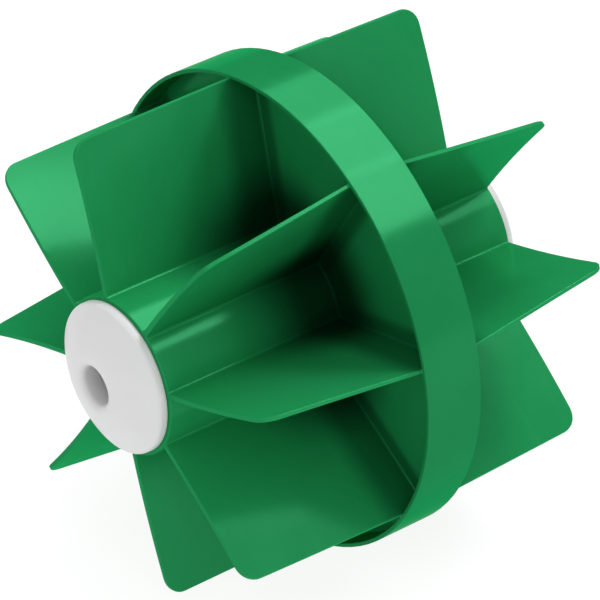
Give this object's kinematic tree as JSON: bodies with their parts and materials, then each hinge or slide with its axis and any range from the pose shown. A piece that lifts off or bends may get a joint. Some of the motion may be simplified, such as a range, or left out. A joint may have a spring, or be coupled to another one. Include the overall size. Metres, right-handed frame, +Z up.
{
  "type": "finned roller",
  "caption": "Hollow drum with flat radial blades on both sides of a middle hoop, domed end plugs and a cable hole through its axis; it turns freely on its guide tube.",
  "frame": {"origin": "middle of the cable hole, halfway between the two ends", "axes": "+Y along the cable hole from the front plug to the rear plug, +Z up, +X to the right seen from the front"},
  "size_m": [0.15, 0.145, 0.15],
  "materials": {
    "green_drum": "glossy moulded green",
    "white_plug": "satin white",
    "tube_white": "drawn tube, satin",
    "seal_rubber": "matt"
  },
  "bodies": {
    "core": {"guide_tube": "tube_white"},
    "drum": {"front_hub": "green_drum", "rear_hub": "green_drum", "hoop": "green_drum", "web_panel_1": "green_drum", "web_panel_2": "green_drum", "web_panel_3": "green_drum", "web_panel_4": "green_drum", "web_panel_5": "green_drum", "web_panel_6": "green_drum", "web_panel_7": "green_drum", "web_panel_8": "green_drum", "front_blade_1": "green_drum", "front_blade_2": "green_drum", "front_blade_3": "green_drum", "front_blade_4": "green_drum", "front_blade_5": "green_drum", "front_blade_6": "green_drum", "front_blade_7": "green_drum", "front_blade_8": "green_drum", "rear_blade_1": "green_drum", "rear_blade_2": "green_drum", "rear_blade_3": "green_drum", "rear_blade_4": "green_drum", "rear_blade_5": "green_drum", "rear_blade_6": "green_drum", "rear_blade_7": "green_drum", "rear_blade_8": "green_drum", "front_plug": "white_plug", "rear_plug": "white_plug", "front_seal": "seal_rubber", "rear_seal": "seal_rubber"}
  },
  "joints": [
    {"name": "drum_spin", "type": "hinge", "parent": "core", "child": "drum", "pos_m": [0, 0, 0], "axis": [0, 1, 0], "continuous": true}
  ]
}
